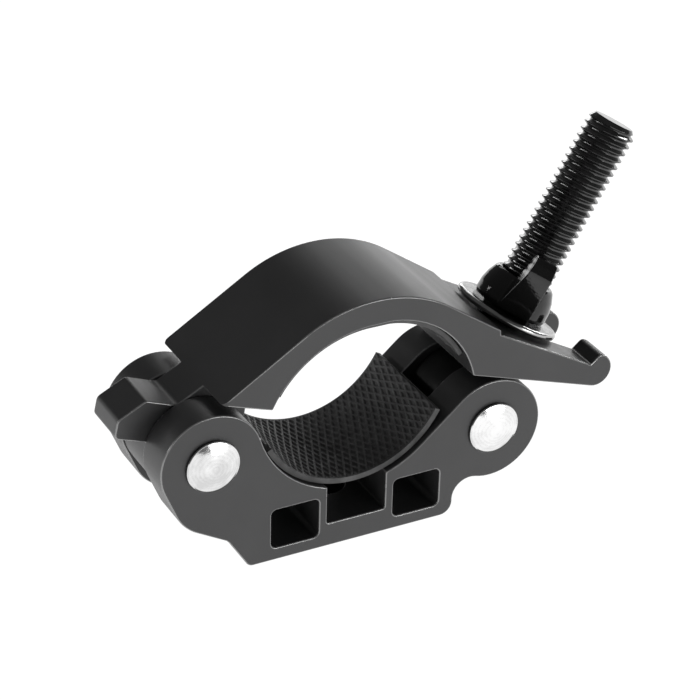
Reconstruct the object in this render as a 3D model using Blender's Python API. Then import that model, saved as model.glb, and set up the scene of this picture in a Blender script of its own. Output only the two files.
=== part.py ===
"""Pipe clamp for a 48 to 51 mm tube: two jaws, two rivets, a swing bolt with a wing nut.

Units are metres. X runs along the clamp, Y along the clamped tube, Z up. Numbers written in
millimetres go through MM. Each piece is drawn from the point on the base's underside that is below
the tube's axis, and main() then moves everything so that the origin is below the middle of the
clamp's length.
"""

from math import acos, atan2, cos, degrees, hypot, pi, radians, sin

import bmesh
import bpy
from mathutils import Matrix, Vector

MM = 0.001

# Driving dimensions, in millimetres
WIDTH = 34.3  # both jaws, along the tube
GAP = 0.3  # between pieces that touch on the real clamp
TUBE = (0.0, 42.7)  # axis of the lower jaw's arc, (x, z)
HINGE = (-38.6, 31.3)  # axis of the hinge rivet
SWING = (38.1, 22.3)  # axis of the rivet that the bolt swings on
SWING_EAR = (37.9, 21.85)  # centre of the round ear that holds that rivet
SADDLE_RADIUS = 27.0  # metal arc of the lower jaw
STRAP_ARC_LEFT = (3.6, 29.6)  # axes of the upper jaw's two metal arcs with the jaws closed
STRAP_RADIUS_LEFT = 29.4
STRAP_ARC_RIGHT = (5.95, 32.6)
STRAP_RADIUS_RIGHT = 26.5
LOWER_PAD_THICKNESS = 1.4
LOWER_PAD_HALF_ANGLE = 62.0  # degrees each side of straight down
LOWER_PAD_WIDTH = 31.2
UPPER_PAD_THICKNESS = 1.1
UPPER_PAD_WIDTH = 31.0
EAR_SLOT = 13.5  # gap between the ears of the lower jaw, both ends
KNUCKLE_WIDTH = 12.9
FORK_SLOT = 15.5
HINGE_EAR_RADIUS = 13.2
SWING_EAR_RADIUS = 13.6
HINGE_SLOT_RADIUS = 13.6  # how far the slot is milled round each rivet
SWING_SLOT_RADIUS = 14.5
KNUCKLE_RADIUS = 12.7
RIVET_RADIUS = 5.0
RIVET_HEAD_RADIUS = 6.85
RIVET_HEAD_HEIGHT = 1.9
EYE_RADIUS = 11.5
EYE_WIDTH = 12.6
BOLT_RADIUS = 6.3  # half-inch thread
BOLT_LENGTH = 79.8  # from the rivet's axis to the end of the thread
BOLT_ANGLE = 59.2  # of the closed clamp's bolt, degrees above +X
BOLT_CHAMFER = 1.2
THREAD_FIT = 0.3
WASHER_RADIUS = 13.9
WASHER_THICKNESS = 2.0
WASHER_HEIGHT = 24.05  # of the washer's underside above the rivet's axis, along the bolt
NUT_HUB_RADIUS = 9.7
NUT_HUB_HEIGHT = 8.6
NUT_WING_SPAN = 20.6
NUT_WING_HEIGHT = 17.5
NUT_WING_THICKNESS = 6.0
NUT_TURN = 32.0  # of the near wing from -Y, degrees
POCKET_FLOOR = 3.4  # above the underside, both outer pockets
POCKET_CORNER = 1.5
STRAP_CORNER = 1.6  # seen from above, at the upper jaw's hinge end
BASE_LEFT = -28.9
BASE_RIGHT = 27.4
BASE_HOLE_RADIUS = 5.25  # clears an M10 bolt
MID_LENGTH = 12.6  # from the tube's axis to the middle of the whole clamp, along X

ARC_STEP = 5.0  # degrees between the points of an arc
RIVET_HOLE_RADIUS = RIVET_RADIUS + GAP
HALF = WIDTH / 2


def arc(centre, radius, start, end, step=ARC_STEP):
    """Points from angle start to angle end, in degrees, both included."""
    count = max(1, round(abs(end - start) / step))
    angles = [radians(start + (end - start) * i / count) for i in range(count + 1)]
    return [(centre[0] + radius * cos(a), centre[1] + radius * sin(a)) for a in angles]


def fillet(before, corner, after, radius, step=15.0):
    """The corner of three points rounded off with an arc of the given radius."""
    to_before = Vector(before) - Vector(corner)
    to_after = Vector(after) - Vector(corner)
    to_before.normalize()
    to_after.normalize()
    half = acos(max(-1.0, min(1.0, to_before.dot(to_after)))) / 2
    bisector = (to_before + to_after).normalized()
    centre = Vector(corner) + bisector * (radius / sin(half))
    first = Vector(corner) + to_before * (radius / (sin(half) / cos(half)))
    last = Vector(corner) + to_after * (radius / (sin(half) / cos(half)))
    start = degrees(atan2(first.y - centre.y, first.x - centre.x))
    end = degrees(atan2(last.y - centre.y, last.x - centre.x))
    turn = (end - start + 180.0) % 360.0 - 180.0
    return arc(centre, radius, start, start + turn, step)


def rounded(corners):
    """A closed outline from (x, z, fillet radius) corners."""
    points = []
    for index, (x, z, radius) in enumerate(corners):
        before = corners[index - 1][:2]
        after = corners[(index + 1) % len(corners)][:2]
        points += fillet(before, (x, z), after, radius) if radius else [(x, z)]
    return points


def tangent_normal(first, second, reach, side):
    """Angle of the normal n for which n . (first - second) = reach."""
    along = (first[0] - second[0], first[1] - second[1])
    return degrees(atan2(along[1], along[0])) + side * degrees(acos(reach / hypot(*along)))


def at(centre, radius, angle):
    return (centre[0] + radius * cos(radians(angle)), centre[1] + radius * sin(radians(angle)))


def material(name, colour, roughness, metallic):
    made = bpy.data.materials.new(name)
    made.use_nodes = True
    shader = made.node_tree.nodes["Principled BSDF"]
    shader.inputs["Base Color"].default_value = (*colour, 1.0)
    shader.inputs["Roughness"].default_value = roughness
    shader.inputs["Metallic"].default_value = metallic
    return made


def add(name, mesh, finish=None, origin=(0.0, 0.0, 0.0), smooth=30.0):
    """A linked object whose mesh, made in world coordinates, is moved to have its origin there."""
    mesh.transform(Matrix.Translation(-Vector(origin)))
    mesh.shade_smooth()
    mesh.set_sharp_from_angle(angle=radians(smooth))
    obj = bpy.data.objects.new(name, mesh)
    obj.location = origin
    bpy.context.scene.collection.objects.link(obj)
    if finish:
        obj.data.materials.append(finish)
    else:
        obj.hide_render = True
        obj.display_type = "WIRE"
    return obj


def prism(name, outline, y_low, y_high):
    """A mesh of the closed (x, z) outline, in millimetres, extruded along Y."""
    made = bmesh.new()
    low = [made.verts.new((x * MM, y_low * MM, z * MM)) for x, z in outline]
    face = made.faces.new(low)
    extruded = bmesh.ops.extrude_face_region(made, geom=[face])
    moved = [v for v in extruded["geom"] if isinstance(v, bmesh.types.BMVert)]
    bmesh.ops.translate(made, verts=moved, vec=(0.0, (y_high - y_low) * MM, 0.0))
    bmesh.ops.recalc_face_normals(made, faces=made.faces)
    mesh = bpy.data.meshes.new(name)
    made.to_mesh(mesh)
    made.free()
    return mesh


def turned(name, profile, steps, axis_matrix):
    """A mesh turned from a (radius, height) profile that is closed or starts and ends on the axis."""
    made = bmesh.new()
    rings = []
    for radius, height in profile:
        if radius == 0.0:
            rings.append([made.verts.new((0.0, 0.0, height * MM))])
            continue
        ring = []
        for i in range(steps):
            angle = 2 * pi * i / steps
            point = Vector((radius * cos(angle), radius * sin(angle), height)) * MM
            ring.append(made.verts.new(point))
        rings.append(ring)
    on_axis = profile[0][0] == 0.0
    following = rings[1:] if on_axis else rings[1:] + rings[:1]
    for lower, upper in zip(rings, following):
        for i in range(steps):
            j = (i + 1) % steps
            corners = [lower[i % len(lower)], lower[j % len(lower)]]
            corners += [upper[j % len(upper)], upper[i % len(upper)]]
            made.faces.new(list(dict.fromkeys(corners)))
    bmesh.ops.recalc_face_normals(made, faces=made.faces)
    made.transform(axis_matrix)
    mesh = bpy.data.meshes.new(name)
    made.to_mesh(mesh)
    made.free()
    return mesh


def along_y(centre):
    """Stands a turned mesh on its side, its axis parallel to Y through centre."""
    on_side = Matrix.Rotation(radians(90), 4, "X")
    return Matrix.Translation((centre[0] * MM, 0.0, centre[1] * MM)) @ on_side


def along_bolt():
    """Puts a turned mesh on the bolt's axis, its height measured from the rivet's axis."""
    lean = Matrix.Rotation(radians(90.0 - BOLT_ANGLE), 4, "Y")
    return Matrix.Translation((SWING[0] * MM, 0.0, SWING[1] * MM)) @ lean


def boolean(target, cutter, operation):
    made = target.modifiers.new(f"{operation.lower()} {cutter.name}", "BOOLEAN")
    made.operation = operation
    made.object = cutter
    made.solver = "EXACT"


def cylinder_y(name, centre, radius, half_length, steps=40):
    low, high = -half_length, half_length
    profile = [(0.0, low), (radius, low), (radius, high), (0.0, high)]
    return turned(name, profile, steps, along_y(centre))


def saddle_outline():
    """Counter-clockwise from the base's lower left corner: base, swing ear, arc, hinge ear."""
    corner_right = 3.3
    ear_fillet = 5.0
    fillet_x = BASE_RIGHT + ear_fillet
    fillet_dx = fillet_x - SWING_EAR[0]
    fillet_z = SWING_EAR[1] - (((SWING_EAR_RADIUS + ear_fillet) ** 2 - fillet_dx**2) ** 0.5)
    ear_bottom = degrees(atan2(fillet_z - SWING_EAR[1], fillet_dx))
    slope = tangent_normal(TUBE, SWING_EAR, SADDLE_RADIUS + SWING_EAR_RADIUS, -1)
    meet = degrees(atan2(TUBE[1] - HINGE[1], TUBE[0] - HINGE[0]))
    lobe = (-36.4, 24.3)
    lobe_radius = 12.5
    lobe_top = degrees(atan2(lobe[1] - HINGE[1], lobe[0] - HINGE[0])) - degrees(
        acos((HINGE_EAR_RADIUS - lobe_radius) / hypot(lobe[0] - HINGE[0], lobe[1] - HINGE[1]))
    )
    left_wall_top = (-34.6, 8.9)
    lobe_bottom = -118.0
    outline = arc((BASE_RIGHT - corner_right, corner_right), corner_right, -90.0, 0.0, 15.0)
    outline += arc((fillet_x, fillet_z), ear_fillet, 180.0, ear_bottom + 180.0, 12.0)
    outline += arc(SWING_EAR, SWING_EAR_RADIUS, ear_bottom, slope)
    outline += arc(TUBE, SADDLE_RADIUS, slope - 180.0, meet - 180.0)
    outline += arc(HINGE, HINGE_EAR_RADIUS, meet, lobe_top + 360.0)
    outline += arc(lobe, lobe_radius, lobe_top + 360.0, lobe_bottom + 360.0)
    outline += fillet(outline[-1], left_wall_top, (BASE_LEFT, 0.0), 2.5)
    outline += fillet(left_wall_top, (BASE_LEFT, 0.0), (0.0, 0.0), 2.0)
    return outline


def pocket(left, right, bottom, top):
    """Outline of a pocket with rounded corners."""
    radius = POCKET_CORNER
    corners = [(left, bottom), (right, bottom), (right, top), (left, top)]
    return rounded([(x, z, radius) for x, z in corners])


def make_saddle(finish):
    """Lower jaw: base with three pockets, arc for the tube, a pair of ears at each end."""
    saddle = add("lower_jaw", prism("lower_jaw", saddle_outline(), -HALF, HALF), finish)
    through = HALF + 5.0
    slot = EAR_SLOT / 2
    hinge_x = HINGE[0]
    swing_x = SWING[0]
    clear = 25.0  # past the end of the jaw
    top = 60.0  # above the jaw
    floor = 5.0  # below both slots
    hinge_side = [(hinge_x - clear, floor), (hinge_x, floor), (hinge_x, top), (hinge_x - clear, top)]
    swing_side = [(swing_x, floor), (swing_x + clear, floor), (swing_x + clear, top), (swing_x, top)]
    left_pocket = pocket(-23.0, -10.0, POCKET_FLOOR, 14.3)
    right_pocket = pocket(10.4, 23.4, POCKET_FLOOR, 14.1)
    middle_pocket = [(-7.9, 6.5, 0.6), (8.2, 6.5, 0.6), (8.2, 22.0, 0.0), (-7.9, 22.0, 0.0)]
    base_hole = [(0.0, -2.0), (BASE_HOLE_RADIUS, -2.0), (BASE_HOLE_RADIUS, 9.0), (0.0, 9.0)]
    cutters = [
        cylinder_y("cut_hinge_slot", HINGE, HINGE_SLOT_RADIUS, slot, 72),
        prism("cut_hinge_side", hinge_side, -slot, slot),
        cylinder_y("cut_swing_slot", SWING, SWING_SLOT_RADIUS, slot, 72),
        prism("cut_swing_side", swing_side, -slot, slot),
        cylinder_y("cut_hinge_hole", HINGE, RIVET_HOLE_RADIUS, through),
        cylinder_y("cut_swing_hole", SWING, RIVET_HOLE_RADIUS, through),
        prism("cut_left_pocket", left_pocket, -through, through),
        prism("cut_right_pocket", right_pocket, -through, through),
        prism("cut_middle_pocket", rounded(middle_pocket), -through, through),
        turned("cut_base_hole", base_hole, 40, Matrix()),
    ]
    for mesh in cutters:
        boolean(saddle, add(mesh.name, mesh), "DIFFERENCE")
    return saddle


def strap_outline():
    """Clockwise from the outer edge's hinge end: back of the jaw, washer seat, hook, arch."""
    end_top = (-35.95, 46.8)
    back_arc = (4.4, 30.25)
    back_radius = 35.4
    reach = hypot(end_top[0] - back_arc[0], end_top[1] - back_arc[1])
    toward_end = degrees(atan2(end_top[1] - back_arc[1], end_top[0] - back_arc[0]))
    back_start = toward_end - degrees(acos(back_radius / reach))
    nose = (67.9, 31.25)
    nose_radius = 4.4
    underside = tangent_normal(nose, SWING_EAR, SWING_EAR_RADIUS + GAP + nose_radius, 1)
    normal = (cos(radians(underside)), sin(radians(underside)))
    lift = SWING_EAR_RADIUS + GAP
    over = (SWING_EAR[0] - STRAP_ARC_RIGHT[0], SWING_EAR[1] - STRAP_ARC_RIGHT[1])
    level = normal[0] * over[0] + normal[1] * over[1] + lift
    arch_start = underside - degrees(acos(level / STRAP_RADIUS_RIGHT))
    outline = [end_top]
    outline += arc(back_arc, back_radius, back_start, 56.0)
    outline += [(39.0, 49.5), (39.05, 48.2)]
    outline += [(66.1, 33.35), (68.3, 35.2), (68.8, 35.45)]
    outline += arc(nose, nose_radius, 71.0, underside - 180.0, 12.0)
    outline += strap_arc(0.0, arch_start, 154.3)
    return outline


def strap_arc(inset, start, end):
    """Points along the upper jaw's inner arcs, right to left, moved in toward the tube."""
    right = arc(STRAP_ARC_RIGHT, STRAP_RADIUS_RIGHT - inset, start, 84.0)
    return right + arc(STRAP_ARC_LEFT, STRAP_RADIUS_LEFT - inset, 92.0, end)


def knuckle_outline():
    """Counter-clockwise: barrel round the hinge, arm into the jaw, lug for the finger."""
    arm_low = (-24.0, 44.3)
    reach = hypot(arm_low[0] - HINGE[0], arm_low[1] - HINGE[1])
    toward = degrees(atan2(arm_low[1] - HINGE[1], arm_low[0] - HINGE[0]))
    barrel_end = toward - degrees(acos(KNUCKLE_RADIUS / reach))
    lug_root = (-52.2, 35.7)
    root_angle = degrees(atan2(lug_root[1] - HINGE[1], lug_root[0] - HINGE[0]))
    barrel_start = root_angle + 1.0
    outline = arc(HINGE, KNUCKLE_RADIUS, barrel_start, barrel_end + 360.0)
    outline += [arm_low, (-26.0, 51.2), (-33.0, 48.3), (-35.95, 46.8)]
    outline += fillet((-35.95, 46.8), (-42.7, 43.2), (-50.5, 46.2), 2.2)
    outline += fillet((-42.7, 43.2), (-50.5, 46.2), (-57.8, 42.6), 1.4)
    outline += fillet((-50.5, 46.2), (-57.8, 42.6), (-58.8, 37.8), 1.8)
    outline += fillet((-57.8, 42.6), (-58.8, 37.8), lug_root, 1.4)
    return outline


def make_strap(finish):
    """Upper jaw: wide arch with a knuckle at the hinge end and a hooked fork at the bolt end."""
    strap = add("upper_jaw", prism("upper_jaw", strap_outline(), -HALF, HALF), finish,
                (HINGE[0] * MM, 0.0, HINGE[1] * MM))
    half_knuckle = KNUCKLE_WIDTH / 2
    knuckle = prism("add_knuckle", knuckle_outline(), -half_knuckle, half_knuckle)
    hole = cylinder_y("cut_knuckle_hole", HINGE, RIVET_HOLE_RADIUS, HALF)
    boolean(strap, add(knuckle.name, knuckle), "UNION")
    boolean(strap, add(hole.name, hole), "DIFFERENCE")
    boolean(strap, add("cut_fork", fork_cutter()), "DIFFERENCE")
    for side in (-1, 1):
        mesh = corner_cutter(f"cut_corner_{side}", (-35.95, side * HALF), side)
        boolean(strap, add(mesh.name, mesh), "DIFFERENCE")
    return strap


def corner_cutter(name, corner, side):
    """What a rounded corner leaves out, standing upright, with some clearance outside the corner."""
    x, y = corner
    centre = (x + STRAP_CORNER, y - side * STRAP_CORNER)
    clear = 1.0
    outline = [(x - clear, centre[1])]
    for i in range(7):
        angle = radians(180.0 - 15.0 * i)
        outline.append((centre[0] + STRAP_CORNER * cos(angle), centre[1] + side * STRAP_CORNER * sin(angle)))
    outline += [(centre[0], y + side * clear), (x - clear, y + side * clear)]
    made = bmesh.new()
    low = [made.verts.new((u * MM, v * MM, 0.030)) for u, v in outline]
    face = made.faces.new(low)
    extruded = bmesh.ops.extrude_face_region(made, geom=[face])
    moved = [v for v in extruded["geom"] if isinstance(v, bmesh.types.BMVert)]
    bmesh.ops.translate(made, verts=moved, vec=(0.0, 0.0, 0.030))
    bmesh.ops.recalc_face_normals(made, faces=made.faces)
    mesh = bpy.data.meshes.new(name)
    made.to_mesh(mesh)
    made.free()
    return mesh


def fork_cutter():
    """The fork's slot: a bar with a round end, its depth square to the washer's seat."""
    seat_slope = radians(-28.5)
    inner_end = 9.5  # from the bolt's axis to the round end
    radius = FORK_SLOT / 2
    outline = [(40.0, radius)]
    outline += arc((radius - inner_end, 0.0), radius, 90.0, 270.0, 15.0)
    outline += [(40.0, -radius)]
    seat_height = 23.1
    bolt = radians(BOLT_ANGLE)
    centre = Vector((SWING[0] + seat_height * cos(bolt), 0.0, SWING[1] + seat_height * sin(bolt)))
    along = Vector((cos(seat_slope), 0.0, sin(seat_slope)))
    across = Vector((0.0, 1.0, 0.0))
    normal = along.cross(across)
    made = bmesh.new()
    rings = []
    for depth in (-25.0, 25.0):
        ring = []
        for u, v in outline:
            ring.append(made.verts.new((centre + along * u + across * v + normal * depth) * MM))
        rings.append(ring)
    made.faces.new(rings[0])
    made.faces.new(rings[1])
    for i in range(len(outline)):
        j = (i + 1) % len(outline)
        made.faces.new((rings[0][i], rings[0][j], rings[1][j], rings[1][i]))
    bmesh.ops.recalc_face_normals(made, faces=made.faces)
    mesh = bpy.data.meshes.new("cut_fork")
    made.to_mesh(mesh)
    made.free()
    return mesh


def make_pads(rubber):
    """Rubber linings, each a plain arc strip a little narrower than its jaw."""
    half_width = LOWER_PAD_WIDTH / 2
    outer = SADDLE_RADIUS - GAP
    inner = outer - LOWER_PAD_THICKNESS
    low, high = -90.0 - LOWER_PAD_HALF_ANGLE, -90.0 + LOWER_PAD_HALF_ANGLE
    strip = arc(TUBE, outer, low, high) + arc(TUBE, inner, high, low)
    add("lower_pad", prism("lower_pad", strip, -half_width, half_width), rubber)
    half_width = UPPER_PAD_WIDTH / 2
    low, high = 27.5, 148.0
    strip = strap_arc(GAP, low, high)
    strip += reversed(strap_arc(GAP + UPPER_PAD_THICKNESS, low, high))
    add("upper_pad", prism("upper_pad", strip, -half_width, half_width), rubber,
        (HINGE[0] * MM, 0.0, HINGE[1] * MM))


def make_rivet(name, centre, zinc):
    """A shank right through the ears with a low domed head at each end."""
    face = HALF + GAP
    rim = face + 0.6 * RIVET_HEAD_HEIGHT
    top = face + RIVET_HEAD_HEIGHT
    crown = 0.86 * RIVET_HEAD_RADIUS
    half = [(RIVET_RADIUS, face), (RIVET_HEAD_RADIUS, face), (RIVET_HEAD_RADIUS, rim)]
    half += [(crown, top - 0.2), (0.0, top)]
    profile = [(radius, -height) for radius, height in reversed(half)] + half
    origin = (centre[0] * MM, 0.0, centre[1] * MM)
    add(name, turned(name, profile, 40, along_y(centre)), zinc, origin)


def make_bolt(black):
    """Eye on the swing rivet and an M12 shank, joined by a forged neck."""
    origin = (SWING[0] * MM, 0.0, SWING[1] * MM)
    tip = BOLT_LENGTH - BOLT_CHAMFER
    shank = [(0.0, 7.0), (BOLT_RADIUS, 7.0), (BOLT_RADIUS, tip),
             (BOLT_RADIUS - BOLT_CHAMFER, BOLT_LENGTH), (0.0, BOLT_LENGTH)]
    bolt = add("swing_bolt", turned("swing_bolt", shank, 40, along_bolt()), black, origin)
    half_eye = EYE_WIDTH / 2
    eye = add("add_eye", cylinder_y("add_eye", SWING, EYE_RADIUS, half_eye, 56))
    boolean(bolt, eye, "UNION")
    hole = add("cut_eye_hole", cylinder_y("cut_eye_hole", SWING, RIVET_HOLE_RADIUS, HALF))
    boolean(bolt, hole, "DIFFERENCE")


def make_washer(bright):
    low, high = WASHER_HEIGHT, WASHER_HEIGHT + WASHER_THICKNESS
    bore = BOLT_RADIUS + 0.5
    bevel = 0.4
    rim = WASHER_RADIUS - bevel
    profile = [(bore, low), (rim, low), (WASHER_RADIUS, low + bevel),
               (WASHER_RADIUS, high - bevel), (rim, high), (bore, high)]
    origin = (SWING[0] * MM, 0.0, SWING[1] * MM)
    add("washer", turned("washer", profile, 48, along_bolt()), bright, origin)


def make_nut(black):
    """Domed hub with two flaring wings."""
    seat = WASHER_HEIGHT + WASHER_THICKNESS + GAP
    bore = BOLT_RADIUS + THREAD_FIT
    top = seat + NUT_HUB_HEIGHT
    profile = [(bore, seat), (NUT_HUB_RADIUS, seat), (NUT_HUB_RADIUS, seat + 3.2)]
    profile += [(NUT_HUB_RADIUS - 1.0, seat + 6.0), (bore + 0.9, top), (bore, top)]
    origin = (SWING[0] * MM, 0.0, SWING[1] * MM)
    hub = add("wing_nut", turned("wing_nut", profile, 40, along_bolt()), black, origin)
    wing = rounded([(7.2, 0.4, 0.0), (10.6, 0.4, 1.0), (NUT_WING_SPAN, 13.1, 2.5),
                    (NUT_WING_SPAN - 0.6, NUT_WING_HEIGHT, 2.0), (14.0, NUT_WING_HEIGHT - 0.3, 2.0),
                    (9.5, 7.5, 1.5), (7.2, 7.0, 0.0)])
    for number, turn in enumerate((NUT_TURN, NUT_TURN + 180.0)):
        mesh = prism(f"add_wing_{number}", wing, -NUT_WING_THICKNESS / 2, NUT_WING_THICKNESS / 2)
        mesh.transform(Matrix.Rotation(radians(-90.0 - turn), 4, "Z"))
        mesh.transform(Matrix.Translation((0.0, 0.0, seat * MM)))
        mesh.transform(along_bolt())
        boolean(hub, add(f"add_wing_{number}", mesh), "UNION")


def main():
    for obj in list(bpy.data.objects):
        bpy.data.objects.remove(obj, do_unlink=True)
    anodised = material("black_anodised_aluminium", (0.045, 0.045, 0.047), 0.5, 0.6)
    rubber = material("black_rubber", (0.03, 0.03, 0.03), 0.85, 0.0)
    zinc = material("zinc_plated_steel", (0.75, 0.75, 0.77), 0.25, 1.0)
    black = material("black_oxide_steel", (0.02, 0.02, 0.022), 0.3, 0.8)
    make_saddle(anodised)
    make_strap(anodised)
    make_pads(rubber)
    make_rivet("hinge_rivet", HINGE, zinc)
    make_rivet("swing_rivet", SWING, zinc)
    make_bolt(black)
    make_washer(zinc)
    make_nut(black)
    for obj in bpy.data.objects:
        obj.location.x -= MID_LENGTH * MM


main()
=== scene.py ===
from math import cos, exp, floor, hypot, pi, radians, sin

import bmesh
import bpy
from mathutils import Matrix, Vector


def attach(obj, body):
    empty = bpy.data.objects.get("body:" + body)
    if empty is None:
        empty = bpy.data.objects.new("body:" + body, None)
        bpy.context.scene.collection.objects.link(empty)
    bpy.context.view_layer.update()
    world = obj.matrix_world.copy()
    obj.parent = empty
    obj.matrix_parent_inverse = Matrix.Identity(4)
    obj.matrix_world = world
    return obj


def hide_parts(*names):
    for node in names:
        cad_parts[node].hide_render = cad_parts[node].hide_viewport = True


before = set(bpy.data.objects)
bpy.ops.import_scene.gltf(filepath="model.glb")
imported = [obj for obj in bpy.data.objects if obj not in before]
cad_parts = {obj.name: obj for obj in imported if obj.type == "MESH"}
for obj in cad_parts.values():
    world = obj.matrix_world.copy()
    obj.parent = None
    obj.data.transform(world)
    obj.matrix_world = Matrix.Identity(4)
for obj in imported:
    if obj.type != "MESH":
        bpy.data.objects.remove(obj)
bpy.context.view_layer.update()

MM = 0.001

# Places and sizes in the part's own frame, in millimetres, as the CAD nodes have them
TUBE = (-12.6, 42.7)
STRAP_ARC_LEFT = (-9.0, 29.6)
STRAP_ARC_RIGHT = (-6.65, 32.6)
HINGE = (-51.2, 31.3)
SWING = (25.5, 22.3)
STRAP_BACK = (-8.2, 30.25)  # axis of the upper jaw's outer arc
STRAP_BACK_RADIUS = 35.4
STRAP_CORNER = (-46.5, 14.5)  # the upper jaw's hinge-end corners lie past this x and this |y|
LOWER_SEAT = 26.7  # radius of the lower lining's back
UPPER_SEAT_RIGHT = 26.2  # and of the upper lining's, on both of the upper jaw's inner arcs
UPPER_SEAT_LEFT = 29.1
HEAD_FACE = 17.45  # underside of a rivet's head, from the middle plane
BOLT_ANGLE = 59.2  # degrees above +X with the clamp shut
BOLT_END = 79.8  # heights along the bolt are from the swing rivet's axis
WASHER_LOW = 24.05
NUT_SEAT = 26.35
NUT_TURN = 32.0  # of the near wing from -Y, degrees
PITCH = 1.954  # 13 threads to the inch
THREAD_RADIUS = 6.6

# In metres: points closer than WELD are one point, and a length under NOTHING counts as none
WELD = 0.000002
NOTHING = 0.000001

# The camera: where it stands, and its right-hand and backward directions
CAMERA_PLACE = (-0.2630, -0.4782, 0.3467)
CAMERA_RIGHT = (0.8868, -0.4616, 0.0233)
CAMERA_BACK = (-0.4130, -0.7689, 0.4882)
CAMERA_LENS = 130.57  # millimetres, on a sensor 36 mm wide


# ---------------------------------------------------------------- camera, light, floor

def camera():
    data = bpy.data.cameras.new("camera")
    data.sensor_width = 36.0
    data.lens = CAMERA_LENS
    data.clip_start = 0.01
    made = bpy.data.objects.new("camera", data)
    bpy.context.scene.collection.objects.link(made)
    right = Vector(CAMERA_RIGHT).normalized()
    back = Vector(CAMERA_BACK).normalized()
    up = back.cross(right).normalized()
    right = up.cross(back)
    place = Matrix((right, up, back)).transposed().to_4x4()
    place.translation = Vector(CAMERA_PLACE)
    made.matrix_world = place
    bpy.context.scene.camera = made


def soft_light(name, place, aim, width, height, power):
    """A rectangular area light at place, turned to aim, in metres and watts."""
    data = bpy.data.lights.new(name, "AREA")
    data.shape = "RECTANGLE"
    data.size = width
    data.size_y = height
    data.energy = power
    made = bpy.data.objects.new(name, data)
    bpy.context.scene.collection.objects.link(made)
    made.location = place
    made.rotation_euler = (Vector(aim) - Vector(place)).to_track_quat("-Z", "Y").to_euler()


def studio():
    """Panels round the clamp and dim surroundings; the glowing table lights it from below."""
    middle = (0.0, 0.0, 0.04)
    thread = (0.045, 0.0, 0.08)
    soft_light("front_fill", (0.55, -1.05, 0.1), middle, 0.6, 0.3, 3.8)
    soft_light("back_panel", (1.15, 1.35, 0.12), middle, 1.5, 0.3, 5.4)
    soft_light("back_high", (0.66, 1.15, 0.75), middle, 0.6, 0.45, 1.35)
    soft_light("streak_left", (-0.9, 0.3, 0.36), thread, 0.9, 0.06, 2.0)
    soft_light("streak_right", (0.96, 0.25, 0.38), thread, 0.09, 0.42, 2.2)
    world = bpy.data.worlds.new("studio")
    world.use_nodes = True
    nodes, links = world.node_tree.nodes, world.node_tree.links
    nodes["Background"].inputs["Color"].default_value = (1.0, 1.0, 1.0, 1.0)
    nodes["Background"].inputs["Strength"].default_value = 0.095
    # seen straight from the camera, past the end of the floor, the surroundings are as pale as it
    backdrop = nodes.new("ShaderNodeBackground")
    backdrop.inputs["Color"].default_value = (1.0, 1.0, 1.0, 1.0)
    mixed = nodes.new("ShaderNodeMixShader")
    links.new(nodes.new("ShaderNodeLightPath").outputs["Is Camera Ray"], mixed.inputs["Fac"])
    links.new(nodes["Background"].outputs["Background"], mixed.inputs[1])
    links.new(backdrop.outputs["Background"], mixed.inputs[2])
    links.new(mixed.outputs["Shader"], nodes["World Output"].inputs["Surface"])
    bpy.context.scene.world = world
    bpy.context.scene.view_settings.view_transform = "Standard"


def matt_finish(name, grey):
    """A plain matt material and its shader, for what the clamp stands on."""
    made = bpy.data.materials.new(name)
    made.use_nodes = True
    shader = made.node_tree.nodes["Principled BSDF"]
    shader.inputs["Base Color"].default_value = (grey, grey, grey, 1.0)
    shader.inputs["Roughness"].default_value = 0.9
    return made, shader


def floor_plane():
    """A white table that glows, so that it lights the clamp from below and stays pale."""
    made = bmesh.new()
    bmesh.ops.create_grid(made, x_segments=8, y_segments=8, size=4.0)
    mesh = bpy.data.meshes.new("floor")
    made.to_mesh(mesh)
    made.free()
    plane = bpy.data.objects.new("floor", mesh)
    bpy.context.scene.collection.objects.link(plane)
    plane.location = (0.0, 0.0, -0.0002)
    finish, shader = matt_finish("floor_white", 0.2)
    shader.inputs["Specular IOR Level"].default_value = 0.1
    shader.inputs["Emission Color"].default_value = (1.0, 1.0, 1.0, 1.0)
    shader.inputs["Emission Strength"].default_value = 1.0
    mesh.materials.append(finish)


def floor_shade():
    """A dark patch for the shadow under the base's hole, which the glowing table can't take."""
    middle_x, half_x, half_y = -0.013, 0.011, 0.012
    corners = [(middle_x + half_x * u, half_y * v) for u, v in ((-1, -1), (1, -1), (1, 1), (-1, 1))]
    mesh = bpy.data.meshes.new("floor_shade")
    mesh.from_pydata([(x, y, -0.0001) for x, y in corners], [], [(0, 1, 2, 3)])
    patch = bpy.data.objects.new("floor_shade", mesh)
    bpy.context.scene.collection.objects.link(patch)
    mesh.materials.append(matt_finish("floor_shade", 0.02)[0])


# ---------------------------------------------------------------- materials

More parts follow.
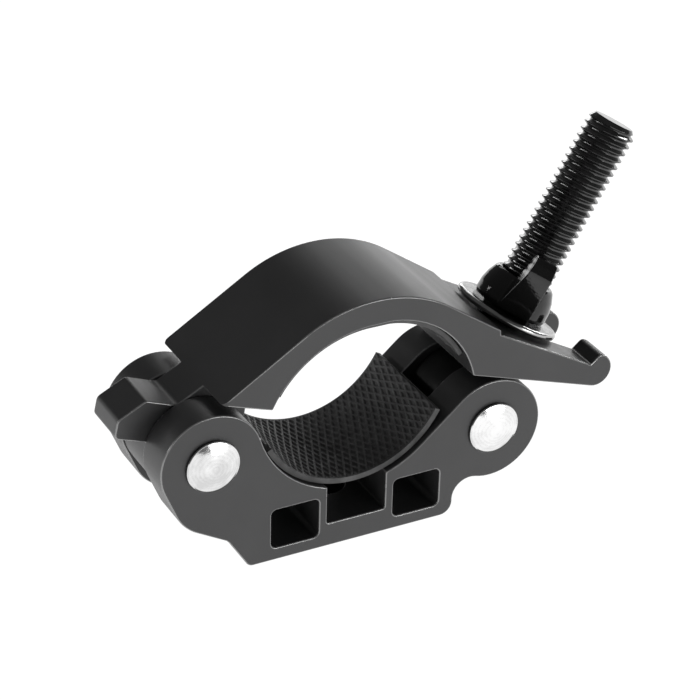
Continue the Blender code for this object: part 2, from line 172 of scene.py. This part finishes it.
class Finish:
    """A node material built up from a few kinds of detail."""

    def __init__(self, name, roughness, metallic, **constants):
        self.material = bpy.data.materials.new(name)
        self.material.use_nodes = True
        self.nodes = self.material.node_tree.nodes
        self.links = self.material.node_tree.links
        self.shader = self.nodes["Principled BSDF"]
        self.shader.inputs["Roughness"].default_value = roughness
        self.shader.inputs["Metallic"].default_value = metallic
        for socket, value in constants.items():
            self.shader.inputs[socket.replace("_", " ")].default_value = value
        self.place = self.nodes.new("ShaderNodeTexCoord").outputs["Object"]
        self.normal = None

    def noise(self, scale, detail=3.0, rough=0.55, stretch=None):
        """Noise in the object's own place, drawn out along an axis whose stretch is below 1."""
        texture = self.nodes.new("ShaderNodeTexNoise")
        texture.inputs["Scale"].default_value = scale
        texture.inputs["Detail"].default_value = detail
        texture.inputs["Roughness"].default_value = rough
        source = self.place
        if stretch:
            mapping = self.nodes.new("ShaderNodeMapping")
            mapping.inputs["Scale"].default_value = stretch
            self.links.new(source, mapping.inputs["Vector"])
            source = mapping.outputs["Vector"]
        self.links.new(source, texture.inputs["Vector"])
        return texture.outputs["Fac"]

    def swirl(self, centre, marks, share=0.05):
        """Uneven rings round an axis along Y through centre, a small share added to other marks."""
        mapping = self.nodes.new("ShaderNodeMapping")
        mapping.inputs["Location"].default_value = (-centre[0] * MM, 0.0, -centre[1] * MM)
        self.links.new(self.place, mapping.inputs["Vector"])
        rings = self.nodes.new("ShaderNodeTexWave")
        rings.wave_type = "RINGS"
        rings.rings_direction = "Y"
        rings.inputs["Scale"].default_value = 330.0
        rings.inputs["Distortion"].default_value = 7.0
        rings.inputs["Detail"].default_value = 3.0
        rings.inputs["Detail Scale"].default_value = 0.5
        self.links.new(mapping.outputs["Vector"], rings.inputs["Vector"])
        mixed = self.nodes.new("ShaderNodeMath")
        mixed.operation = "MULTIPLY_ADD"
        mixed.inputs[1].default_value = share
        self.links.new(rings.outputs["Fac"], mixed.inputs[0])
        lowered = self.nodes.new("ShaderNodeMath")
        lowered.operation = "SUBTRACT"
        lowered.inputs[1].default_value = share / 2
        self.links.new(marks, lowered.inputs[0])
        self.links.new(lowered.outputs["Value"], mixed.inputs[2])
        return mixed.outputs["Value"]

    def ramp(self, source, low, high, first, last):
        """A pattern's values from first to last spread over low to high."""
        made = self.nodes.new("ShaderNodeMapRange")
        made.inputs["From Min"].default_value = first
        made.inputs["From Max"].default_value = last
        made.inputs["To Min"].default_value = low
        made.inputs["To Max"].default_value = high
        self.links.new(source, made.inputs["Value"])
        return made.outputs["Result"]

    def colour(self, source, dark, light, first=0.35, last=0.65):
        made = self.nodes.new("ShaderNodeValToRGB")
        made.color_ramp.elements[0].position = first
        made.color_ramp.elements[0].color = (*dark, 1.0)
        made.color_ramp.elements[1].position = last
        made.color_ramp.elements[1].color = (*light, 1.0)
        self.links.new(source, made.inputs["Fac"])
        self.links.new(made.outputs["Color"], self.shader.inputs["Base Color"])

    def roughness(self, source, low, high, first=0.35, last=0.65):
        self.links.new(self.ramp(source, low, high, first, last), self.shader.inputs["Roughness"])

    def bump(self, source, distance, strength=1.0):
        made = self.nodes.new("ShaderNodeBump")
        made.inputs["Distance"].default_value = distance
        made.inputs["Strength"].default_value = strength
        self.links.new(source, made.inputs["Height"])
        if self.normal:
            self.links.new(self.normal, made.inputs["Normal"])
        self.normal = made.outputs["Normal"]
        self.links.new(self.normal, self.shader.inputs["Normal"])


def anodised(name, dark, light, low, high, metallic=0.0):
    """Bead-blasted and dyed aluminium: fine grain, slightly uneven dye, faint extrusion lines."""
    finish = Finish(name, 0.42, metallic, IOR=1.6)
    grain = finish.noise(5200.0, 2.0, 0.6)
    cloud = finish.noise(45.0, 4.0, 0.5)
    lines = finish.noise(160.0, 3.0, 0.6, (1.0, 0.03, 1.0))
    finish.colour(cloud, dark, light, 0.3, 0.7)
    finish.roughness(lines, low, high)
    finish.bump(grain, 0.000025, 0.5)
    finish.bump(lines, 0.00001, 0.5)
    return finish.material


def rubber():
    """Matt moulded rubber, a little dusty."""
    finish = Finish("moulded_rubber", 0.6, 0.0, IOR=1.35)
    finish.colour(finish.noise(300.0), (0.085, 0.085, 0.085), (0.125, 0.125, 0.125))
    finish.roughness(finish.noise(900.0), 0.5, 0.72)
    finish.bump(finish.noise(2500.0, 4.0, 0.7), 0.00005, 0.6)
    return finish.material


def zinc(name, dark, light, low, high, dents, centre=None):
    """Zinc plate, dark to light, low to high in roughness, with a swirl if it has a centre."""
    finish = Finish(name, 0.2, 1.0)
    marks = finish.noise(120.0, 5.0, 0.6)
    if centre:
        marks = finish.swirl(centre, marks)
    finish.colour(marks, (dark, dark, dark), (light, light, light))
    finish.roughness(finish.noise(350.0, 5.0, 0.65), low, high)
    finish.bump(finish.noise(260.0, 4.0, 0.6), dents, 0.5)
    finish.bump(finish.noise(3000.0, 2.0, 0.6), 0.00002, 0.3)
    return finish.material


def black_steel(name, low, high, ior, light, dents):
    """Blackened steel, between the roughnesses low and high, its dents in metres."""
    finish = Finish(name, 0.25, 0.0, IOR=ior)
    finish.colour(finish.noise(220.0, 4.0, 0.6), (0.006, 0.006, 0.006), (light, light, light))
    finish.roughness(finish.noise(400.0, 4.0, 0.6), low, high)
    finish.bump(finish.noise(450.0, 4.0, 0.6), dents, 0.4)
    return finish.material


# ---------------------------------------------------------------- mesh helpers

def new_object(name, mesh, materials, smooth=32.0):
    """A linked object, shaded smooth except at edges sharper than so many degrees."""
    mesh.shade_smooth()
    mesh.set_sharp_from_angle(angle=radians(smooth))
    made = bpy.data.objects.new(name, mesh)
    bpy.context.scene.collection.objects.link(made)
    for finish in materials:
        mesh.materials.append(finish)
    return made


def mesh_from(name, verts, faces):
    """A closed mesh with its faces turned outward."""
    mesh = bpy.data.meshes.new(name)
    mesh.from_pydata([tuple(v) for v in verts], [], faces)
    made = bmesh.new()
    made.from_mesh(mesh)
    bmesh.ops.recalc_face_normals(made, faces=made.faces)
    made.to_mesh(mesh)
    made.free()
    return mesh


def turned(name, profile, steps, place):
    """A mesh turned from (radius, height) points in millimetres, closed or from axis to axis."""
    verts, rings = [], []
    for radius, height in profile:
        if radius == 0.0:
            rings.append([len(verts)])
            verts.append(Vector((0.0, 0.0, height * MM)))
            continue
        rings.append(list(range(len(verts), len(verts) + steps)))
        for i in range(steps):
            angle = 2 * pi * i / steps
            verts.append(Vector((radius * cos(angle), radius * sin(angle), height)) * MM)
    following = rings[1:] if profile[0][0] == 0.0 else rings[1:] + rings[:1]
    faces = []
    for lower, upper in zip(rings, following):
        for i in range(steps):
            j = (i + 1) % steps
            corners = [lower[i % len(lower)], lower[j % len(lower)]]
            corners += [upper[j % len(upper)], upper[i % len(upper)]]
            faces.append(list(dict.fromkeys(corners)))
    return mesh_from(name, [place @ v for v in verts], faces)


def rounded_profile(points, radius, steps=4):
    """Profile corners rounded off, the first and last points kept, no cut past 45 % of a side."""
    made = [points[0]]
    for before, corner, after in zip(points, points[1:], points[2:]):
        first = Vector(before) - Vector(corner)
        last = Vector(after) - Vector(corner)
        reach = min(radius, 0.45 * first.length, 0.45 * last.length)
        start = Vector(corner) + first.normalized() * reach
        end = Vector(corner) + last.normalized() * reach
        for i in range(steps + 1):
            t = i / steps
            point = start * (1 - t) ** 2 + Vector(corner) * 2 * t * (1 - t) + end * t * t
            made.append((point.x, point.y))
    made.append(points[-1])
    return made


def along_y(centre):
    """Lays a turned mesh on its side, its axis parallel to Y through centre."""
    on_side = Matrix.Rotation(radians(90), 4, "X")
    return Matrix.Translation((centre[0] * MM, 0.0, centre[1] * MM)) @ on_side


def along_bolt():
    """Puts a turned mesh on the bolt's axis, its heights from the swing rivet's axis."""
    lean = Matrix.Rotation(radians(90.0 - BOLT_ANGLE), 4, "Y")
    return Matrix.Translation((SWING[0] * MM, 0.0, SWING[1] * MM)) @ lean


def finish_modifiers(made):
    """Puts the object's evaluated mesh in place of its own and drops its modifiers."""
    graph = bpy.context.evaluated_depsgraph_get()
    mesh = bpy.data.meshes.new_from_object(made.evaluated_get(graph))
    made.modifiers.clear()
    made.data = mesh


def installed(piece, body, node=None):
    """The piece rides on its body and stands for a CAD node, if any, which it hides."""
    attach(piece, body)
    if node:
        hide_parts(node)


# ---------------------------------------------------------------- pieces

def rounder(made, centre, radius):
    """Each flat of an arc round an axis along Y split in five and pushed out to the arc."""

    def reach(vert):
        return hypot(vert.co.x / MM - centre[0], vert.co.z / MM - centre[1])

    on_arc = 0.01  # millimetres that a point of the arc may be off it
    sag = 0.06  # millimetres, more than a flat's middle lies inside the arc
    flats = []
    for edge in made.edges:
        level = abs(edge.verts[0].co.y - edge.verts[1].co.y) < NOTHING
        if level and all(abs(reach(vert) - radius) < on_arc for vert in edge.verts):
            flats.append(edge)
    bmesh.ops.subdivide_edges(made, edges=flats, cuts=4, use_grid_fill=True)
    for vert in made.verts:
        if radius - sag < reach(vert) < radius:
            grow = radius / reach(vert)
            vert.co.x = centre[0] * MM + (vert.co.x - centre[0] * MM) * grow
            vert.co.z = centre[1] * MM + (vert.co.z - centre[1] * MM) * grow


def weigh_edges(made, strap):
    """Marks the edges to break: all sharp ones but the strap's hinge-end corners."""
    weight = made.edges.layers.float.new("bevel_weight_edge")
    corner_x, corner_y = STRAP_CORNER[0] * MM, STRAP_CORNER[1] * MM
    for edge in made.edges:
        if strap and all(v.co.x < corner_x and abs(v.co.y) > corner_y for v in edge.verts):
            continue  # the CAD has rounded these already, and a bevel would spike here
        if len(edge.link_faces) == 2 and edge.calc_face_angle(0.0) > radians(33.0):
            edge[weight] = 1.0


def dressed(node, name, finishes, width, body):
    """A machined part: the CAD node's own shape with its sharp edges broken."""
    strap = node == "upper_jaw"
    made = bmesh.new()
    made.from_mesh(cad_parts[node].data)
    bmesh.ops.remove_doubles(made, verts=made.verts, dist=2 * WELD)
    bmesh.ops.dissolve_limit(made, angle_limit=radians(0.6), verts=made.verts, edges=made.edges)
    if strap:
        rounder(made, STRAP_BACK, STRAP_BACK_RADIUS)
    weigh_edges(made, strap)
    mesh = bpy.data.meshes.new(name)
    made.to_mesh(mesh)
    made.free()
    piece = new_object(name, mesh, finishes)
    bevel = piece.modifiers.new("broken edges", "BEVEL")
    bevel.width = width * MM
    bevel.segments = 3
    bevel.limit_method = "WEIGHT"
    bevel.use_clamp_overlap = False
    # the bevels take the second finish, whose lighter colour is a painted highlight along the edges
    bevel.material = 1
    finish_modifiers(piece)
    # the bevel leaves some points on top of each other
    made = bmesh.new()
    made.from_mesh(piece.data)
    bmesh.ops.remove_doubles(made, verts=made.verts, dist=WELD)
    bmesh.ops.dissolve_degenerate(made, edges=made.edges, dist=NOTHING)
    made.to_mesh(piece.data)
    made.free()
    shading = piece.modifiers.new("flat faces", "WEIGHTED_NORMAL")
    shading.mode = "FACE_AREA"
    shading.weight = 50
    shading.keep_sharp = True
    installed(piece, body, node)


def ridge(distance, period, top, foot):
    """1 on a ridge's flat top and 0 between ridges, for a distance measured across them."""
    off = abs(distance / period - floor(distance / period + 0.5)) * period
    t = min(1.0, max(0.0, (foot - off) / (foot - top)))
    return t * t * (3 - 2 * t)


def lining(name, node, path, thickness, depth, margin, half_width, finish, body):
    """Rubber strip along path(s, inset), its inner face carrying a lattice of crossed ridges."""
    pitch_s, pitch_y = 2.1, 4.55  # of the lattice, along the path and across it
    top, foot = 0.16, 0.52  # half a ridge's width at its top and at its foot
    fade = 0.35  # from the lattice to the plain margin
    step = 0.17
    length = path.length
    count_s = round(length / step)
    count_y = round(2 * half_width / step)
    slope = hypot(1 / pitch_s, 1 / pitch_y)
    verts = []
    for i in range(count_s + 1):
        s = length * i / count_s
        for j in range(count_y + 1):
            y = -half_width + 2 * half_width * j / count_y
            one = ridge((s / pitch_s + y / pitch_y) / slope, 1 / slope, top, foot)
            two = ridge((s / pitch_s - y / pitch_y) / slope, 1 / slope, top, foot)
            edge = min(1.0, max(0.0, (half_width - margin - abs(y)) / fade))
            x, z = path.place(s, thickness - depth * (1 - max(one, two)) * edge)
            verts.append((x, y, z))
    across = count_y + 1
    back = len(verts)
    for i in range(count_s + 1):
        x, z = path.place(length * i / count_s, 0.0)
        verts += [(x, -half_width, z), (x, half_width, z)]
    faces = []
    for i in range(count_s):
        for j in range(count_y):
            a = i * across + j
            faces.append((a, a + 1, a + across + 1, a + across))
        low, high = back + 2 * i, back + 2 * i + 1
        faces.append((low, low + 2, high + 2, high))
        a = i * across
        faces.append((a, a + across, low + 2, low))
        b = a + count_y
        faces.append((b, high, high + 2, b + across))
    for i in (0, count_s):
        row = [i * across + j for j in range(across)]
        faces.append(row + [back + 2 * i + 1, back + 2 * i])
    mesh = mesh_from(name, [Vector(v) * MM for v in verts], faces)
    installed(new_object(name, mesh, [finish], 40.0), body, node)


class ArcPath:
    """Arcs of (centre, radius, start, end), in degrees, run through one after another."""

    steps = 120

    def __init__(self, *arcs):
        self.points = []
        for centre, radius, start, end in arcs:
            for i in range(self.steps + 1):
                angle = radians(start + (end - start) * i / self.steps)
                normal = (cos(angle), sin(angle))
                place = (centre[0] + radius * normal[0], centre[1] + radius * normal[1])
                self.points.append((place, normal))
        self.reach = [0.0]
        for (one, _), (two, _) in zip(self.points, self.points[1:]):
            self.reach.append(self.reach[-1] + hypot(two[0] - one[0], two[1] - one[1]))
        self.length = self.reach[-1]

    def place(self, s, inset):
        """The point s along the path and inset toward the tube."""
        k = 1
        while k < len(self.reach) - 1 and self.reach[k] < s:
            k += 1
        t = (s - self.reach[k - 1]) / (self.reach[k] - self.reach[k - 1])
        (one, first), (two, last) = self.points[k - 1], self.points[k]
        x = one[0] + (two[0] - one[0]) * t - inset * (first[0] + (last[0] - first[0]) * t)
        z = one[1] + (two[1] - one[1]) * t - inset * (first[1] + (last[1] - first[1]) * t)
        return x, z


def threaded_shank(name, low, high, finishes):
    """60 degree thread whose rows of points follow the helix, cut off square at both ends."""
    steps = 128
    offset = 0.61  # height of a groove's floor on the side toward +X, less whole turns
    section = [(0.0, 1.09), (0.1, 1.07), (0.13, 1.0), (0.22, 0.7), (0.32, 0.365), (0.42, 0.03),
               (0.45, 0.0), (0.55, 0.0), (0.58, 0.03), (0.68, 0.365), (0.78, 0.7), (0.87, 1.0),
               (0.9, 1.07)]  # (part of the pitch, depth below the crests)
    plain, plain_radius = 1.5, 5.6  # the shank's unthreaded start
    chamfer, taper = 1.9, 0.75  # the tip's length and its fall in radius for each millimetre
    place = along_bolt()
    first = floor((low - offset) / PITCH) - 1
    last = floor((high - offset) / PITCH) + 1
    rows = [(turn + phase, depth) for turn in range(first, last) for phase, depth in section]
    verts, faces = [], []
    for row, depth in rows:
        for i in range(steps + 1):
            angle = 2 * pi * i / steps
            height = offset + PITCH * (row + i / steps)
            radius = THREAD_RADIUS - depth
            if height < low + plain:
                radius = min(radius, plain_radius)
            if height > high - chamfer:
                radius = min(radius, THREAD_RADIUS - (height - high + chamfer) * taper)
            if not low <= height <= high:
                height = min(high, max(low, height))
                radius = plain_radius if height == low else THREAD_RADIUS - chamfer * taper
            verts.append(place @ (Vector((radius * cos(angle), radius * sin(angle), height)) * MM))
    across = steps + 1
    for k in range(len(rows) - 1):
        for i in range(steps):
            a = k * across + i
            faces.append((a, a + 1, a + 1 + across, a + across))
    mesh = bpy.data.meshes.new(name)
    mesh.from_pydata([tuple(v) for v in verts], [], faces)
    made = bmesh.new()
    made.from_mesh(mesh)
    bmesh.ops.remove_doubles(made, verts=made.verts, dist=1.5 * WELD)
    bmesh.ops.dissolve_degenerate(made, edges=made.edges, dist=NOTHING)
    rims = [edge for edge in made.edges if len(edge.link_faces) == 1]
    bmesh.ops.holes_fill(made, edges=rims, sides=0)
    bmesh.ops.recalc_face_normals(made, faces=made.faces)
    made.to_mesh(mesh)
    made.free()
    return new_object(name, mesh, finishes, 20.0)


def swing_bolt(finish, forged):
    """Threaded shank, eye round the rivet and the neck that joins them."""
    shank = threaded_shank("bolt_thread", 13.0, BOLT_END, [finish])
    installed(shank, "bolt", "swing_bolt")
    bore, outer, half = 5.3, 11.5, 6.3
    ease = 0.3  # of the bore's edges
    profile = rounded_profile([(8.0, -half), (outer, -half), (outer, half), (8.0, half)], 0.8)
    profile = [(bore, ease - half), (bore + ease, -half)] + profile
    profile += [(bore + ease, half), (bore, half - ease)]
    eye = new_object("bolt_eye", turned("bolt_eye", profile, 96, along_y(SWING)), [forged])
    installed(eye, "bolt")
    profile = [(0.0, 9.0), (6.3, 9.0), (6.3, 12.6), (5.6, 13.4), (0.0, 13.4)]
    neck = new_object("bolt_neck", turned("bolt_neck", profile, 64, along_bolt()), [forged])
    installed(neck, "bolt")


def rivet(name, node, centre):
    """Shank with a head at each end that the riveting tool left domed and ringed."""
    shank, head, ease = 5.0, 6.85, 0.12
    crown = 6.5  # radius where the dome starts
    top, rise = 1.9, 1.45  # the dome's top above the head's underside, and above its own edge
    points = [(shank, HEAD_FACE), (head - ease, HEAD_FACE), (head, HEAD_FACE + ease)]
    points += [(head, HEAD_FACE + 0.45), (head - ease, HEAD_FACE + 0.6)]
    count = 36
    for i in range(count):
        radius = crown * (1 - i / count)
        dome = top - rise * (radius / crown) ** 1.7
        rings = 0.003 * cos(2 * pi * radius / 1.3) * exp(-((radius - 2.6) / 1.8) ** 2)
        points.append((radius, HEAD_FACE + dome + rings))
    points.append((0.0, HEAD_FACE + top))
    profile = [(radius, -height) for radius, height in reversed(points)] + points
    finish = zinc(f"zinc_{name}", 0.66, 0.95, 0.1, 0.2, 0.0001, centre)
    piece = new_object(name, turned(name, profile, 96, along_y(centre)), [finish])
    installed(piece, "jaw", node)


def washer(face, rim):
    """Flat plate with a rolled rim that has a finish of its own; the rim's lighter colour is a
    painted highlight and the face's darker colour painted shade.
    """
    low, high = WASHER_LOW + 0.12, WASHER_LOW + 1.84
    half = (high - low) / 2
    bore, ease, flat = 6.8, 0.25, 13.1
    rolled, bulge = 13.15, 0.75
    around, rim_steps = 128, 14
    points = [(bore, low + ease), (7.1, low), (flat, low)]
    for i in range(1, rim_steps):
        angle = pi * i / rim_steps
        points.append((rolled + bulge * sin(angle), low + half * (1 - cos(angle))))
    points += [(flat, high), (7.1, high), (bore, high - ease)]
    mesh = turned("washer_plate", points, around, along_bolt())
    piece = new_object("washer_plate", mesh, [face, rim], 40.0)
    for polygon in mesh.polygons:
        if 2 <= polygon.index // around <= rim_steps + 1:
            polygon.material_index = 1
    installed(piece, "washer", "washer")


def wing(name, turn, finish):
    """One wing of the nut, standing on the hub's seat, thinner toward its tip."""
    outline = [(7.2, 0.2), (10.2, 0.3), (11.4, 1.6), (20.0, 12.5), (20.6, 13.4), (20.5, 16.0),
               (19.4, 17.3), (17.0, 17.5), (14.6, 16.9), (12.2, 12.8), (9.6, 8.0), (7.2, 7.4)]

    def thickness(height):
        if height < 13.0:
            return 9.0 - 3.0 * height / 13.0
        return 6.2 - 0.9 * (height - 13.0) / 4.5

    verts = []
    spin = Matrix.Rotation(radians(-90.0 - turn), 4, "Z")
    for side in (-1, 1):
        for radius, height in outline:
            half = thickness(height) / 2 * side
            verts.append(spin @ (Vector((radius, half, height)) * MM))
    count = len(outline)
    faces = [list(range(count)), list(range(count, 2 * count))]
    for i in range(count):
        j = (i + 1) % count
        faces.append((i, j, count + j, count + i))
    return new_object(name, mesh_from(name, verts, faces), [finish])


def wing_nut(finish):
    """Cast hub and two wings, run together by a fine remesh that rounds every join."""
    hub = [(THREAD_RADIUS, 0.0), (9.6, 0.0), (9.8, 1.0), (9.7, 3.4), (9.1, 5.8), (8.1, 8.0),
           (7.5, 8.6), (THREAD_RADIUS, 8.6)]
    mesh = turned("wing_nut_body", hub, 96, Matrix.Identity(4))
    body = new_object("wing_nut_body", mesh, [finish])
    wings = [wing(f"wing_{k}", NUT_TURN + 180.0 * k, finish) for k in range(2)]
    for made in wings:
        union = body.modifiers.new(f"join {made.name}", "BOOLEAN")
        union.operation = "UNION"
        union.object = made
        union.solver = "EXACT"
    remesh = body.modifiers.new("cast", "REMESH")
    remesh.mode = "VOXEL"
    remesh.voxel_size = 0.2 * MM
    remesh.use_smooth_shade = True
    ease = body.modifiers.new("ease", "SMOOTH")
    ease.factor = 0.5
    ease.iterations = 2
    finish_modifiers(body)
    for made in wings:
        bpy.data.objects.remove(made, do_unlink=True)
    body.data.transform(along_bolt() @ Matrix.Translation((0.0, 0.0, NUT_SEAT * MM)))
    body.data.shade_smooth()
    installed(body, "nut", "wing_nut")


def main():
    camera()
    studio()
    floor_plane()
    floor_shade()
    metal = anodised("anodised_black", (0.03, 0.03, 0.031), (0.038, 0.038, 0.039), 0.4, 0.46)
    # the edge finish is much lighter than the body's: a painted highlight along the broken edges
    edge = anodised("anodised_edge_painted_highlight", (0.24, 0.24, 0.24), (0.32, 0.32, 0.32), 0.2, 0.28, 0.5)
    lining_rubber = rubber()
    # one zinc for the washer: the face's darker colour is painted shade, the rim's lighter colour a
    # painted highlight
    dull_painted_shade = zinc("dull_zinc_painted_shade", 0.12, 0.26, 0.16, 0.26, dents=0.00004)
    rolled = zinc("rolled_zinc_painted_highlight", 0.32, 0.5, 0.12, 0.18, dents=0.00002)
    steel = black_steel("black_oxide", 0.1, 0.16, 1.7, 0.02, 0.000005)
    forged = black_steel("forged_black", 0.4, 0.55, 1.3, 0.006, 0.00008)
    enamel = black_steel("black_gloss", 0.05, 0.12, 1.5, 0.008, 0.0002)
    dressed("lower_jaw", "lower_jaw_metal", [metal, edge], 0.3, "jaw")
    dressed("upper_jaw", "upper_jaw_metal", [metal, edge], 0.3, "strap")
    lower = ArcPath((TUBE, LOWER_SEAT, -152.0, -28.0))
    upper = ArcPath((STRAP_ARC_RIGHT, UPPER_SEAT_RIGHT, 27.5, 84.0),
                    (STRAP_ARC_LEFT, UPPER_SEAT_LEFT, 92.0, 148.0))
    lining("lower_lining", "lower_pad", lower, thickness=1.4, depth=0.42, margin=0.6,
           half_width=15.6, finish=lining_rubber, body="jaw")
    lining("upper_lining", "upper_pad", upper, thickness=1.1, depth=0.35, margin=0.0,
           half_width=15.5, finish=lining_rubber, body="strap")
    swing_bolt(steel, forged)
    rivet("hinge_rivet_head", "hinge_rivet", HINGE)
    rivet("swing_rivet_head", "swing_rivet", SWING)
    washer(dull_painted_shade, rolled)
    wing_nut(enamel)


main()
